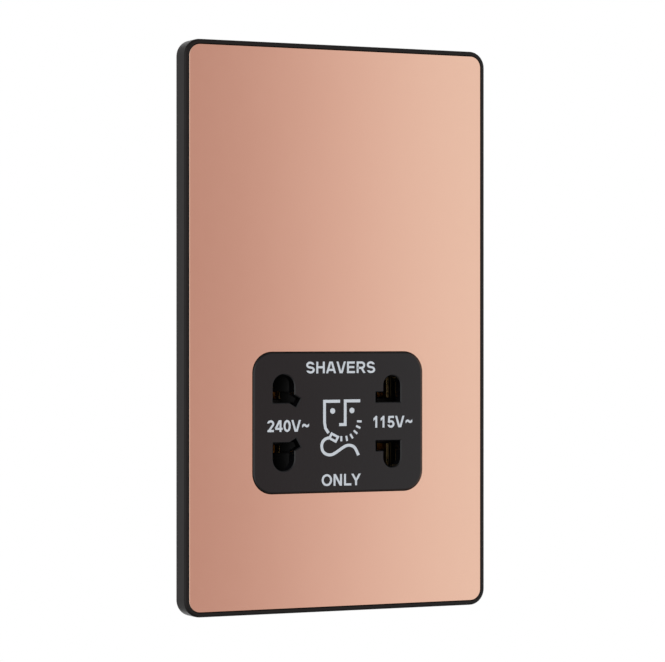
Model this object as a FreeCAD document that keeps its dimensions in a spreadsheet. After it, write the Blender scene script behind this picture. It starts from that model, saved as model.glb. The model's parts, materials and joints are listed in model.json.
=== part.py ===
"""Two-gang shaver socket with a screwless flat plate, in millimetres.

X is to the right, Y runs from the front into the wall and Z is up. The origin is the plate's centre on the
wall plane, so the plate lies in front of Y = 0 and the housing behind it.
"""

import FreeCAD, Part
import math
import os
import re

import Sketcher

SIZES = {
    # The plate: a metal sheet in a moulded frame that stands on the wall.
    "plate_width": 86.0,
    "plate_height": 146.0,
    "plate_depth": 5.5,
    "plate_corner": 4.2,
    "rim_width": 1.2,
    "frame_wall": 2.0,
    "frame_web": 1.2,
    "frame_edge": 0.6,
    "sheet_thick": 1.0,
    "sheet_corner": 3.0,
    "sheet_edge": 0.15,
    "sheet_gap": 0.1,
    "rib_width": 1.4,
    # The clips that hold the plate to the steel frame, three on each side.
    "clip_inset": 8.0,
    "clip_end": 21.0,
    "clip_width": 6.0,
    "clip_thick": 1.2,
    "clip_catch": 0.7,
    "clip_nib": 0.8,
    "clip_gap": 0.15,
    "pry_width": 9.0,
    "pry_height": 1.0,
    "pry_depth": 1.3,
    # The socket's face, which comes forward through the plate.
    "insert_width": 48.3,
    "insert_height": 35.9,
    "insert_corner": 5.2,
    "insert_drop": 24.2,
    "insert_proud": 0.3,
    "insert_edge": 0.3,
    "insert_gap": 0.12,
    "face_thick": 3.0,
    "block_wall": 1.6,
    "lid_thick": 1.6,
    # The apertures: a half-round end for round pins, and a slot for flat ones.
    "left_pin": 15.65,
    "left_radius": 3.0,
    "left_flat": 5.15,
    "left_centre": 9.3,
    "left_slot": 14.55,
    "slot_level": 6.85,
    "slot_length": 7.0,
    "slot_width": 2.4,
    "slot_angle": 30.0,
    "right_pin": 15.45,
    "right_radius": 2.45,
    "right_flat": 5.05,
    "right_centre": 9.45,
    "blade_inner": 10.75,
    "blade_outer": 17.9,
    "blade_height": 2.55,
    "lead_in": 0.25,
    # The steel frame that the wall box holds.
    "steel_room": 1.0,
    "steel_corner": 3.0,
    "steel_thick": 1.2,
    "steel_setback": 2.7,
    "steel_gap": 0.4,
    "fixing_inset": 12.7,
    "fixing_radius": 1.75,
    "fixing_length": 25.0,
    "neck_radius": 1.5,
    "neck_length": 1.6,
    "fixing_slack": 2.0,
    "fixing_gap": 0.25,
    "head_radius": 3.3,
    "head_height": 2.0,
    "dish_radius": 5.2,
    # The housing: a deep bay for the transformer over a shallow one for the socket.
    "housing_wall": 1.8,
    "housing_corner": 4.0,
    "housing_edge": 1.5,
    "partition_thick": 1.2,
    "bay_top_room": 0.8,
    "bay_end_room": 3.6,
    "bay_back_room": 3.0,
    "ear_offset": 22.0,
    "ear_width": 9.0,
    "ear_reach": 8.0,
    "ear_thick": 6.0,
    "ear_corner": 2.0,
    "joint_gap": 0.05,
    "small_radius": 1.5,
    "small_head": 2.7,
    "head_thick": 1.6,
    "small_gap": 0.1,
    "vent_width": 1.6,
    "vent_length": 14.0,
    "vent_pitch": 4.0,
    "vent_count": 6,
    # The transformer: stacked laminations, whose window follows from the middle leg.
    "leg_width": 18.0,
    "core_stack": 20.0,
    "core_gap": 0.1,
    "core_front_room": 1.3,
    "core_back_room": 0.6,
    "core_side_room": 1.85,
    "core_top_room": 1.05,
    "strap_thick": 0.8,
    "strap_width": 12.0,
    "strap_lip": 4.0,
    "bobbin_wall": 1.0,
    "bobbin_gap": 0.2,
    "winding_inset": 0.8,
    "winding_corner": 3.0,
    "tape_thick": 0.3,
    "cutout_width": 7.5,
    "cutout_depth": 4.0,
    "cutout_height": 14.0,
    "rest_width": 5.0,
    "rest_height": 8.0,
    # The carrier, the spring contacts and the terminals.
    "carrier_width": 49.0,
    "carrier_height": 37.0,
    "carrier_back": 18.5,
    "carrier_floor": 1.2,
    "carrier_gap": 0.2,
    "contact_level": 9.2,
    "contact_gape": 3.4,
    "contact_strip": 0.6,
    "contact_width": 6.4,
    "contact_front": 1.6,
    "contact_flare": 0.4,
    "contact_room": 0.25,
    "tail_width": 3.0,
    "tail_length": 4.5,
    "post_width": 4.0,
    "block_width": 30.0,
    "block_height": 13.0,
    "block_depth": 11.5,
    "block_drop": 13.3,
    "terminal_spacing": 18.0,
    "terminal_width": 7.0,
    "terminal_height": 9.0,
    "terminal_depth": 8.0,
    "terminal_gap": 0.2,
    "wire_radius": 1.8,
    "entry_room": 2.2,
    "clamp_radius": 1.5,
    "clamp_gap": 0.1,
    "clamp_stand": 2.4,
    "clamp_room": 0.4,
    "earth_offset": 12.0,
    "earth_rise": 1.3,
    # The interlock: a slider that shuts one pair of apertures, and the switch that it works.
    "slider_travel": 3.2,
    "slider_thick": 3.2,
    "slider_ramp": 3.0,
    "slider_gap": 0.2,
    "slider_left": 15.8,
    "slider_right": 16.1,
    "slider_reach": 12.8,
    "slider_inner": 5.0,
    "slider_web": 5.0,
    "guide_gap": 0.15,
    "notch_level": 7.9,
    "notch_depth": 2.0,
    "fork_reach": 0.6,
    "fork_wall": 1.4,
    "fork_gap": 0.12,
    "fork_height": 7.0,
    "spring_strip": 0.35,
    "spring_reach": 3.2,
    "spring_width": 2.6,
    "spring_gap": 0.05,
    "lever_level": 14.0,
    "lever_front": 12.0,
    "lever_rear": 6.6,
    "lever_tip": 1.0,
    "lever_arm": 1.6,
    "lever_hub": 2.4,
    "lever_width": 6.0,
    "pin_radius": 1.0,
    "pin_length": 18.0,
    "pin_gap": 0.06,
    "well_width": 12.4,
    "well_height": 14.0,
    "cap_thick": 0.5,
    "cap_length": 3.0,
    "switch_gap": 0.1,
}

# Sizes and places that follow from the driving ones. A place is measured from the origin along its own axis.
RULES = {
    "clip_offset": "plate_width / 2 - clip_inset",
    "clip_spacing": "plate_height / 2 - clip_end",
    "sheet_back": "-plate_depth + sheet_thick",
    "web_back": "sheet_back + frame_web",
    "window_width": "insert_width + 2 * insert_gap",
    "window_height": "insert_height + 2 * insert_gap",
    "window_corner": "insert_corner + insert_gap",
    "steel_front": "-steel_setback",
    "steel_back": "-steel_setback + steel_thick",
    "steel_width": "plate_width - 2 * frame_wall - 2 * steel_room",
    "steel_height": "plate_height - 2 * frame_wall - 2 * steel_room",
    "fixing_spacing": "plate_height - 2 * fixing_inset",
    "lid_back": "steel_back + lid_thick",
    "shell_front": "lid_back + joint_gap",
    "ear_back": "shell_front + ear_thick",
    "face_front": "-plate_depth - insert_proud",
    "face_back": "face_front + face_thick",
    "cavity_width": "insert_width - 2 * block_wall",
    "cavity_height": "insert_height - 2 * block_wall",
    "partition_level": "insert_drop - carrier_height / 2 - bay_top_room - partition_thick",
    "bay_depth": "carrier_back + tail_length + bay_back_room + housing_wall",
    "core_low": "-partition_level + strap_thick + core_gap",
    "core_high": "core_low + leg_width * 2.5",
    "core_centre": "lid_back + core_front_room + coil_reach",
    "core_front": "core_centre - core_stack / 2",
    "core_rear": "core_centre + core_stack / 2",
    "coil_reach": "core_stack / 2 + leg_width / 2 - 2 * bobbin_gap",
    "coil_side": "leg_width - 2 * bobbin_gap",
    "bobbin_low": "core_low + leg_width / 2 + bobbin_gap",
    "bobbin_high": "core_high - leg_width / 2 - bobbin_gap",
    "bobbin_middle": "(bobbin_low + bobbin_high - bobbin_wall) / 2",
    "housing_width": "3 * leg_width + core_gap + 2 * (strap_thick + core_side_room + housing_wall)",
    "housing_top": "core_high + core_gap / 2 + strap_thick + core_top_room + housing_wall",
    "housing_bottom": "insert_drop + carrier_height / 2 + bay_end_room + housing_wall",
    "housing_depth": "core_centre + coil_reach + core_back_room + housing_wall",
    "contact_back": "carrier_back - carrier_floor - contact_room",
    "block_level": "insert_drop + block_drop",
    "earth_level": "fixing_spacing / 2 - earth_rise",
    "wire_depth": "bay_depth + terminal_gap + terminal_depth / 2",
    "slider_front": "face_back + slider_gap",
    "slider_back": "slider_front + slider_thick",
    "carrier_front": "slider_back + slider_gap",
    "swing_angle": "slider_travel / lever_front * 180 / pi",
    "fork_end": "lever_level - lever_front * cos(swing_angle) + fork_reach",
}
NAME = re.compile(r"[a-z]+(?:_[a-z]+)+")

NEAR = 0.001
PLANES = {"XY_Plane": 1, "XZ_Plane": -1, "YZ_Plane": 1}
SPRING_FOLDS = 6

doc = FreeCAD.newDocument("ShaverSocket")
sheet = doc.addObject("Spreadsheet::Sheet", "Sizes")
pieces = []


def fill_sheet():
    """Puts each driving size into a row of the sheet, under an alias of its own name."""
    for row, (name, number) in enumerate(SIZES.items(), 1):
        sheet.set(f"A{row}", name)
        sheet.set(f"B{row}", str(number))
        sheet.setAlias(f"B{row}", name)
    doc.recompute()


def driven(text):
    """The same expression with each rule written out, so that it names only driving sizes."""
    return NAME.sub(lambda name: f"({driven(RULES[name[0]])})" if name[0] in RULES else name[0], text)


def size(text):
    """The number that an expression of sizes comes to."""
    return float(sheet.evalExpression(driven(text)))


def linked(text):
    """The same expression for another object, which reads each size from the sheet."""
    return NAME.sub(lambda name: f"Sizes.{name[0]}", driven(text))


def new_body(name):
    body = doc.addObject("PartDesign::Body", name)
    body.Label = name
    pieces.append(body)
    return body


def hold(sketch, kind, *places, at):
    """Adds a dimension to a sketch and ties its value to the sheet."""
    number = sketch.addConstraint(Sketcher.Constraint(kind, *places, size(at)))
    sketch.setExpression(f"Constraints[{number}]", linked(at))


def hold_point(sketch, edge, point, across, up):
    hold(sketch, "DistanceX", -1, 1, edge, point, at=across)
    hold(sketch, "DistanceY", -1, 1, edge, point, at=up)


def spot(across, up):
    return FreeCAD.Vector(size(across), size(up), 0)


def outline(sketch, *corners):
    """A closed outline of straight edges."""
    first = sketch.GeometryCount
    count = len(corners)
    spots = [spot(*corner) for corner in corners]
    for i in range(count):
        sketch.addGeometry(Part.LineSegment(spots[i], spots[(i + 1) % count]), False)
    for i, corner in enumerate(corners):
        sketch.addConstraint(Sketcher.Constraint("Coincident", first + i, 2, first + (i + 1) % count, 1))
        hold_point(sketch, first + i, 1, *corner)


def box(sketch, left, right, low, high):
    """An upright rectangle between four places."""
    outline(sketch, (left, low), (right, low), (right, high), (left, high))


def circle(sketch, across, up, radius):
    number = sketch.addGeometry(Part.Circle(spot(across, up), FreeCAD.Vector(0, 0, 1), size(radius)), False)
    hold_point(sketch, number, 3, across, up)
    hold(sketch, "Radius", number, at=radius)


def chain(sketch, edges):
    """Adds lines and arcs that run on from each other, smooth where an arc meets a line."""
    first = sketch.GeometryCount
    for edge in edges:
        sketch.addGeometry(edge, False)
    for i, edge in enumerate(edges):
        after = (i + 1) % len(edges)
        straight = isinstance(edge, Part.LineSegment) and isinstance(edges[after], Part.LineSegment)
        kind = "Coincident" if straight else "Tangent"
        sketch.addConstraint(Sketcher.Constraint(kind, first + i, 2, first + after, 1))
    return first


def turn(centre, radius, start, end):
    """An arc from one angle to another, in degrees."""
    whole = Part.Circle(centre, FreeCAD.Vector(0, 0, 1), radius)
    return Part.ArcOfCircle(whole, math.radians(start), math.radians(end))


def rounded(sketch, left, right, low, high, radius):
    """An upright rectangle whose corners are arcs of one radius."""
    x0, x1, z0, z1, r = (size(text) for text in (left, right, low, high, radius))
    point = FreeCAD.Vector
    edges = [
        Part.LineSegment(point(x0 + r, z0, 0), point(x1 - r, z0, 0)),
        turn(point(x1 - r, z0 + r, 0), r, -90, 0),
        Part.LineSegment(point(x1, z0 + r, 0), point(x1, z1 - r, 0)),
        turn(point(x1 - r, z1 - r, 0), r, 0, 90),
        Part.LineSegment(point(x1 - r, z1, 0), point(x0 + r, z1, 0)),
        turn(point(x0 + r, z1 - r, 0), r, 90, 180),
        Part.LineSegment(point(x0, z1 - r, 0), point(x0, z0 + r, 0)),
        turn(point(x0 + r, z0 + r, 0), r, 180, 270),
    ]
    first = chain(sketch, edges)
    for side in range(0, len(edges), 2):
        sketch.addConstraint(Sketcher.Constraint("Vertical" if side % 4 else "Horizontal", first + side))
    for corner in range(3, len(edges), 2):
        sketch.addConstraint(Sketcher.Constraint("Equal", first + 1, first + corner))
    hold(sketch, "Radius", first + 1, at=radius)
    hold(sketch, "DistanceX", -1, 1, first + 6, 1, at=left)
    hold(sketch, "DistanceX", -1, 1, first + 2, 1, at=right)
    hold(sketch, "DistanceY", -1, 1, first, 1, at=low)
    hold(sketch, "DistanceY", -1, 1, first + 4, 1, at=high)


def half_round(sketch, across, flat, centre, radius, way):
    """A slot with one square end at flat and one round end about centre; way is 1 upward, -1 downward."""
    x, z0, z1, r = (size(text) for text in (across, flat, centre, radius))
    point = FreeCAD.Vector
    if way > 0:
        edges = [
            Part.LineSegment(point(x + r, z0, 0), point(x + r, z1, 0)),
            turn(point(x, z1, 0), r, 0, 180),
            Part.LineSegment(point(x - r, z1, 0), point(x - r, z0, 0)),
            Part.LineSegment(point(x - r, z0, 0), point(x + r, z0, 0)),
        ]
    else:
        edges = [
            Part.LineSegment(point(x - r, z0, 0), point(x - r, z1, 0)),
            turn(point(x, z1, 0), r, 180, 360),
            Part.LineSegment(point(x + r, z1, 0), point(x + r, z0, 0)),
            Part.LineSegment(point(x + r, z0, 0), point(x - r, z0, 0)),
        ]
    first = chain(sketch, edges)
    sketch.addConstraint(Sketcher.Constraint("Vertical", first))
    sketch.addConstraint(Sketcher.Constraint("Vertical", first + 2))
    sketch.addConstraint(Sketcher.Constraint("Horizontal", first + 3))
    hold_point(sketch, first + 1, 3, across, centre)
    hold(sketch, "Radius", first + 1, at=radius)
    hold(sketch, "DistanceY", -1, 1, first + 3, 1, at=flat)


def slot(sketch, start, end, radius):
    """A slot with two round ends, whose centres are at start and end."""
    a, b, r = spot(*start), spot(*end), size(radius)
    heading = math.degrees(math.atan2(b.y - a.y, b.x - a.x))
    side = FreeCAD.Vector(a.y - b.y, b.x - a.x, 0).normalize() * r
    first = chain(sketch, [
        Part.LineSegment(a - side, b - side),
        turn(b, r, heading - 90, heading + 90),
        Part.LineSegment(b + side, a + side),
        turn(a, r, heading + 90, heading + 270),
    ])
    sketch.addConstraint(Sketcher.Constraint("Equal", first + 1, first + 3))
    hold_point(sketch, first + 1, 3, *end)
    hold_point(sketch, first + 3, 3, *start)
    hold(sketch, "Radius", first + 1, at=radius)


def draw(body, plane, start, shapes):
    """A sketch on one of the body's own planes, moved along the axis that the plane faces to start."""
    sketch = body.newObject("Sketcher::SketchObject", body.Name + "_sketch")
    sketch.AttachmentSupport = [(next(f for f in body.Origin.OriginFeatures if f.Role == plane), "")]
    sketch.MapMode = "FlatFace"
    sign = "" if PLANES[plane] > 0 else "-"
    sketch.setExpression("AttachmentOffset.Base.z", linked(f"{sign}({start})"))
    for shape, *places in shapes:
        shape(sketch, *places)
    return sketch


def add(body, start, end, *shapes, plane="XZ_Plane"):
    """Pads shapes from start to end along the axis across the plane: Y unless another plane is named."""
    before = body.Tip.Shape.Volume if body.Tip else 0
    sketch = draw(body, plane, start, shapes)
    feature = body.newObject("PartDesign::Pad", body.Name + "_pad")
    feature.Profile = sketch
    feature.Reversed = PLANES[plane] < 0
    feature.setExpression("Length", linked(f"({end}) - ({start})"))
    doc.recompute()
    if feature.Shape.isNull() or feature.Shape.Volume - before < NEAR:
        raise RuntimeError(f"{feature.Label} added nothing")


def cut(body, start, end, *shapes, plane="XZ_Plane"):
    """Pockets shapes from start to end, and makes sure that they took something away."""
    before = body.Tip.Shape.Volume
    sketch = draw(body, plane, start, shapes)
    feature = body.newObject("PartDesign::Pocket", body.Name + "_pocket")
    feature.Profile = sketch
    feature.Reversed = PLANES[plane] > 0
    feature.setExpression("Length", linked(f"({end}) - ({start})"))
    doc.recompute()
    if feature.Shape.isNull() or before - feature.Shape.Volume < NEAR:
        raise RuntimeError(f"{feature.Label} cut nothing")


def dress(body, kind, amount, chosen):
    """A fillet or chamfer on the edges that chosen picks."""
    base = body.Tip
    names = [f"Edge{i}" for i, edge in enumerate(base.Shape.Edges, 1) if chosen(edge.BoundBox)]
    if not names:
        raise RuntimeError(f"{body.Label} has no edge to dress")
    feature = body.newObject(f"PartDesign::{kind}", f"{body.Name}_{kind.lower()}")
    feature.Base = (base, names)
    feature.setExpression("Radius" if kind == "Fillet" else "Size", linked(amount))
    doc.recompute()


def level(y):
    """Picks the edges that lie wholly at one place along Y."""
    return lambda b: abs(b.YMin - size(y)) < NEAR and abs(b.YMax - size(y)) < NEAR


def within(b, left, right, low, high):
    """Whether an edge's box lies inside an upright rectangle."""
    return (b.XMin > size(left) - NEAR and b.XMax < size(right) + NEAR
            and b.ZMin > size(low) - NEAR and b.ZMax < size(high) + NEAR)


def square(across, up, half):
    """A square hole about a point, as a shape for a sketch."""
    return (box, f"{across} - ({half})", f"{across} + {half}", f"{up} - ({half})", f"{up} + {half}")


def box_at(across, up, width, height):
    """A rectangle about a point, as a shape for a sketch."""
    return (box, f"{across} - ({width}) / 2", f"{across} + ({width}) / 2", f"{up} - ({height}) / 2",
            f"{up} + ({height}) / 2")


def centred(width, height, corner):
    """A rounded rectangle about the origin, as a shape for a sketch."""
    return (rounded, f"-({width}) / 2", f"({width}) / 2", f"-({height}) / 2", f"({height}) / 2", corner)


def insert_sized(width, height, corner):
    """A rounded rectangle about the middle of the socket's face, as a shape for a sketch."""
    return (rounded, f"-({width}) / 2", f"({width}) / 2", f"-insert_drop - ({height}) / 2",
            f"-insert_drop + ({height}) / 2", corner)


def on_both_sides(shape, across, *places):
    """The same shape to the right and to the left of the middle; across is its place on the right."""
    return [(shape, f"{sign}({across})", *places) for sign in ("", "-")]


def front_plate():
    """The metal sheet: flat, with a window for the socket's face."""
    body = new_body("front_plate")
    add(body, "-plate_depth", "sheet_back",
        centred("plate_width - 2 * rim_width", "plate_height - 2 * rim_width", "sheet_corner"))
    cut(body, "-plate_depth", "sheet_back", insert_sized("window_width", "window_height", "window_corner"))
    dress(body, "Chamfer", "sheet_edge", level("-plate_depth"))


def edge_frame():
    """The moulded frame: a tray that holds the sheet in front, and clips onto the steel frame behind."""
    body = new_body("edge_frame")
    add(body, "-plate_depth", "0", centred("plate_width", "plate_height", "plate_corner"))
    dress(body, "Fillet", "frame_edge", level("-plate_depth"))
    cut(body, "-plate_depth", "sheet_back",
        centred("plate_width - 2 * rim_width + 2 * sheet_gap", "plate_height - 2 * rim_width + 2 * sheet_gap",
                "sheet_corner + sheet_gap"))
    cut(body, "web_back", "0",
        centred("plate_width - 2 * frame_wall", "plate_height - 2 * frame_wall", "plate_corner - frame_wall"))
    add(body, "web_back", "steel_front",
        insert_sized("window_width + 2 * rib_width", "window_height + 2 * rib_width",
                     "window_corner + rib_width"))
    rib = "(plate_height / 2 - 2 * frame_wall - rib_width)"
    for end in (1, -1):
        low, high = f"{end} * {rib} - rib_width / 2", f"{end} * {rib} + rib_width / 2"
        add(body, "web_back", "steel_front", (box, "-steel_width / 3", "steel_width / 3", low, high))
    cut(body, "sheet_back", "steel_front", insert_sized("window_width", "window_height", "window_corner"))
    for side, height in clip_places():
        clip(body, side, f"{height} * clip_spacing")
    cut(body, "-pry_height", "0",
        (box, "-pry_width / 2", "pry_width / 2", "-plate_height / 2", "-plate_height / 2 + pry_depth"))


def clip_places():
    """Where the six clips are: the side's sign, and the height in clip spacings."""
    return [(side, height) for side in (1, -1) for height in (1, 0, -1)]


def clip(body, side, middle):
    """One tongue of the frame, with a sloped nib that catches behind the steel."""
    inner, outer = f"{side} * (clip_offset - clip_thick / 2)", f"{side} * (clip_offset + clip_thick / 2)"
    catch = f"{side} * (clip_offset + clip_thick / 2 + clip_catch)"
    nib, tip = "steel_back + clip_gap", "steel_back + clip_gap + clip_nib"
    add(body, f"{middle} - clip_width / 2", f"{middle} + clip_width / 2",
        (outline, (inner, "web_back"), (outer, "web_back"), (outer, nib), (catch, nib), (outer, tip),
         (inner, tip)), plane="XY_Plane")


def mounting_frame():
    """The pressed steel frame: a shallow tray with a dished hole at each fixing."""
    body = new_body("mounting_frame")
    add(body, "steel_front", "0", centred("steel_width", "steel_height", "steel_corner"))
    cut(body, "steel_back", "0",
        centred("steel_width - 2 * steel_thick", "steel_height - 2 * steel_thick",
                "steel_corner - steel_thick"))
    fixings = [f"{end} * fixing_spacing / 2" for end in (1, -1)]
    add(body, "steel_back", "0", *[(circle, "0", up, "dish_radius + steel_thick") for up in fixings])
    cut(body, "steel_front", "-steel_thick", *[(circle, "0", up, "dish_radius") for up in fixings])
    cut(body, "-steel_thick", "0",
        *[(slot, ("-fixing_slack / 2", up), ("fixing_slack / 2", up), "fixing_radius + fixing_gap")
          for up in fixings])
    cut(body, "steel_front", "steel_back",
        insert_sized("insert_width + 2 * steel_gap", "insert_height + 2 * steel_gap",
                     "insert_corner + steel_gap"))
    cut(body, "steel_front", "steel_back", *[clip_slot(*place) for place in clip_places()])
    cut(body, "steel_front", "steel_back", *ear_holes("small_radius"))


def clip_slot(side, height):
    """The hole in the steel for one clip, with room inward for the clip to bend."""
    near = f"{side} * (clip_offset - clip_thick / 2 - clip_catch - clip_gap)"
    far = f"{side} * (clip_offset + clip_thick / 2 + clip_gap)"
    left, right = (near, far) if side > 0 else (far, near)
    reach = "(clip_width / 2 + clip_gap)"
    return (box, left, right, f"{height} * clip_spacing - {reach}", f"{height} * clip_spacing + {reach}")


def ear_places():
    """The housing's two screws, at opposite corners: their places across and up."""
    return [("ear_offset", "(housing_top + ear_reach / 2)"),
            ("-ear_offset", "(-housing_bottom - ear_reach / 2)")]


def ear_holes(radius):
    """The holes that the housing's screws pass, as shapes for a sketch."""
    return [(circle, across, up, radius) for across, up in ear_places()]


def ears():
    """The two ears of the housing and of its lid, as shapes: tabs that run out of the top and the bottom."""
    left, right = "(ear_offset - ear_width / 2)", "(ear_offset + ear_width / 2)"
    top, bottom = "(housing_top + ear_reach)", "(-housing_bottom - ear_reach)"
    return [
        (outline, (left, "housing_top - ear_corner"), (right, "housing_top - ear_corner"),
         (right, f"{top} - ear_corner"), (f"{right} - ear_corner", top), (f"{left} + ear_corner", top),
         (left, f"{top} - ear_corner")),
        (outline, (f"-{left}", "-housing_bottom + ear_corner"), (f"-{right}", "-housing_bottom + ear_corner"),
         (f"-{right}", f"{bottom} + ear_corner"), (f"-({right} - ear_corner)", bottom),
         (f"-({left} + ear_corner)", bottom), (f"-{left}", f"{bottom} + ear_corner")),
    ]


def housing_outline():
    return (rounded, "-housing_width / 2", "housing_width / 2", "-housing_bottom", "housing_top",
            "housing_corner")


def aperture_shapes(end):
    """The half-round apertures of one end, 1 above the middle and -1 below it."""
    return [
        (half_round, f"{side}{name}_pin", f"-insert_drop + {end} * {name}_flat",
         f"-insert_drop + {end} * {name}_centre", f"{name}_radius", end)
        for side, name in (("-", "left"), ("", "right"))
    ]


def angled_slot(end):
    """The tilted slot for angled flat pins at one end of the left apertures, as a shape for a sketch."""
    corners = []
    for along, aside in ((1, 1), (-1, 1), (-1, -1), (1, -1)):
        right = f"({along} * slot_length * cos(slot_angle) + {aside} * slot_width * sin(slot_angle)) / 2"
        rise = f"({aside} * slot_width * cos(slot_angle) - {along} * slot_length * sin(slot_angle)) / 2"
        corners.append((f"-left_slot + {right}", f"-insert_drop + {end} * (slot_level + {rise})"))
    return (outline, *corners)


def socket_face():
    """The front moulding: the lid of the housing, with the block that shows through the plate."""
    body = new_body("socket_face")
    add(body, "steel_back", "lid_back", housing_outline())
    for ear in ears():
        add(body, "steel_back", "lid_back", ear)
    add(body, "face_front", "steel_back", insert_sized("insert_width", "insert_height", "insert_corner"))
    dress(body, "Chamfer", "insert_edge", level("face_front"))
    cut(body, "face_back", "lid_back",
        insert_sized("cavity_width", "cavity_height", "insert_corner - block_wall"))
    cut(body, "steel_back", "lid_back", *ear_holes("small_radius + small_gap"))
    for end in (1, -1):
        for shape in aperture_shapes(end):
            cut(body, "face_front", "face_back", shape)
        cut(body, "face_front", "face_back", angled_slot(end))
        low = f"-insert_drop + {end} * right_flat"
        high = f"-insert_drop + {end} * (right_flat + blade_height)"
        cut(body, "face_front", "face_back",
            (box, "blade_inner", "blade_outer", *((low, high) if end > 0 else (high, low))))
    in_face, reach = level("face_front"), "cavity_height / 2 - insert_edge"
    side = "cavity_width / 2 - insert_edge"
    dress(body, "Chamfer", "lead_in", lambda b: in_face(b) and within(
        b, f"-({side})", side, f"-insert_drop - ({reach})", f"-insert_drop + {reach}"))


def rear_housing():
    """The housing: two bays open at the front, with rests for the core and posts for the carrier."""
    body = new_body("rear_housing")
    add(body, "shell_front", "bay_depth", housing_outline())
    add(body, "bay_depth", "housing_depth",
        (rounded, "-housing_width / 2", "housing_width / 2", "-partition_level - housing_wall",
         "housing_top", "housing_corner"))
    dress(body, "Chamfer", "housing_edge", level("housing_depth"))
    for ear in ears():
        add(body, "shell_front", "ear_back", ear)
    inner = "housing_width / 2 - housing_wall"
    cut(body, "shell_front", "housing_depth - housing_wall",
        (box, f"-({inner})", inner, "-partition_level", "housing_top - housing_wall"))
    cut(body, "shell_front", "bay_depth - housing_wall",
        (box, f"-({inner})", inner, "-housing_bottom + housing_wall", "-partition_level - partition_thick"))
    for low in ("core_low", "core_high - rest_height"):
        for side in (1, -1):
            edge = f"{side} * (leg_width * 1.5 - 1)"
            other = f"{side} * (leg_width * 1.5 - 1 - rest_width)"
            left, right = (other, edge) if side > 0 else (edge, other)
            add(body, "core_rear + core_gap", "housing_depth - housing_wall",
                (box, left, right, low, f"{low} + rest_height"))
    for side in (1, -1):
        for end in (1, -1):
            across = f"{side} * (carrier_width / 2 - post_width)"
            up = f"-insert_drop + {end} * (carrier_height / 2 - post_width)"
            add(body, "carrier_back + carrier_gap", "bay_depth - housing_wall",
                square(across, up, "post_width / 2"))
    cut(body, "shell_front", "ear_back", *ear_holes("small_radius + small_gap"))
    cut(body, "bay_depth - housing_wall", "bay_depth", (circle, "0", "-block_level", "small_radius"))
    cut(body, "bay_depth - housing_wall", "bay_depth",
        *[square(across, "-block_level", "wire_radius") for across in terminal_places()])
    middle = "(core_low + core_high) / 2"
    vents = []
    for count in range(int(size("vent_count"))):
        up = f"{middle} + ({count} - (vent_count - 1) / 2) * vent_pitch"
        vents.append((box, "-vent_length / 2", "vent_length / 2", f"{up} - vent_width / 2",
                      f"{up} + vent_width / 2"))
    cut(body, "housing_depth - housing_wall", "housing_depth", *vents)


def terminal_places():
    return ["-terminal_spacing / 2", "terminal_spacing / 2"]


def core_e():
    """The E laminations, pressed together: a back yoke and three legs that point up."""
    body = new_body("core_e")
    low, joint = "core_low", "core_high - leg_width / 2"
    outer = "leg_width * 1.5"
    front, back = "core_centre - core_stack / 2", "core_centre + core_stack / 2"
    add(body, front, back, (box, f"-{outer}", outer, low, joint))
    windows = on_both_sides(window_shape, "leg_width * 0.75", f"{low} + leg_width / 2", joint)
    cut(body, front, back, *windows)


def window_shape(sketch, middle, low, high):
    """A window of the core: half a leg wide."""
    box(sketch, f"{middle} - leg_width / 4", f"{middle} + leg_width / 4", low, high)


def core_i():
    """The I laminations, which close the legs of the E."""
    body = new_body("core_i")
    outer = "leg_width * 1.5"
    add(body, "core_centre - core_stack / 2", "core_centre + core_stack / 2",
        (box, f"-{outer}", outer, "core_high - leg_width / 2", "core_high"))


def core_strap():
    """The steel strap round the core: over the top, down both sides and folded under."""
    body = new_body("core_strap")
    front, back = "core_centre - strap_width / 2", "core_centre + strap_width / 2"
    inner = "leg_width * 1.5 + core_gap / 2"
    outer = "leg_width * 1.5 + core_gap / 2 + strap_thick"
    top = "core_high + core_gap / 2"
    base = "core_low - core_gap / 2"
    add(body, front, back,
        (rounded, f"-({outer})", outer, f"{base} - strap_thick", f"{top} + strap_thick", "strap_thick"))
    cut(body, front, back,
        (box, f"-({inner})", inner, base, top))
    cut(body, front, back,
        (box, f"-({inner} - strap_lip)", f"{inner} - strap_lip", f"{base} - strap_thick", base))


def flange(level_text, thick):
    """One flange of the bobbin, as a pad along Z from its lower face."""
    reach_x = "leg_width - bobbin_gap * 2"
    reach_y = "core_stack / 2 + leg_width / 2 - bobbin_gap * 2"
    shape = (box, f"-({reach_x})", reach_x, f"core_centre - ({reach_y})", f"core_centre + {reach_y}")
    return level_text, f"{level_text} + {thick}", shape


def tube_shape(extra):
    """The outline round the middle leg, wider than it by extra."""
    half_x, half_y = f"(leg_width / 2 + {extra})", f"(core_stack / 2 + {extra})"
    return (box, f"-{half_x}", half_x, f"core_centre - {half_y}", f"core_centre + {half_y}")


def bobbin():
    """The moulded bobbin on the middle leg: two flanges, and a wall between the windings."""
    body = new_body("bobbin")
    add(body, "bobbin_low", "bobbin_high", tube_shape("bobbin_gap + bobbin_wall"), plane="XY_Plane")
    for low in ("bobbin_low", "bobbin_middle", "bobbin_high - bobbin_wall"):
        start, end, shape = flange(low, "bobbin_wall")
        add(body, start, end, shape, plane="XY_Plane")
    cut(body, "bobbin_low", "bobbin_high", tube_shape("bobbin_gap"), plane="XY_Plane")


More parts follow.
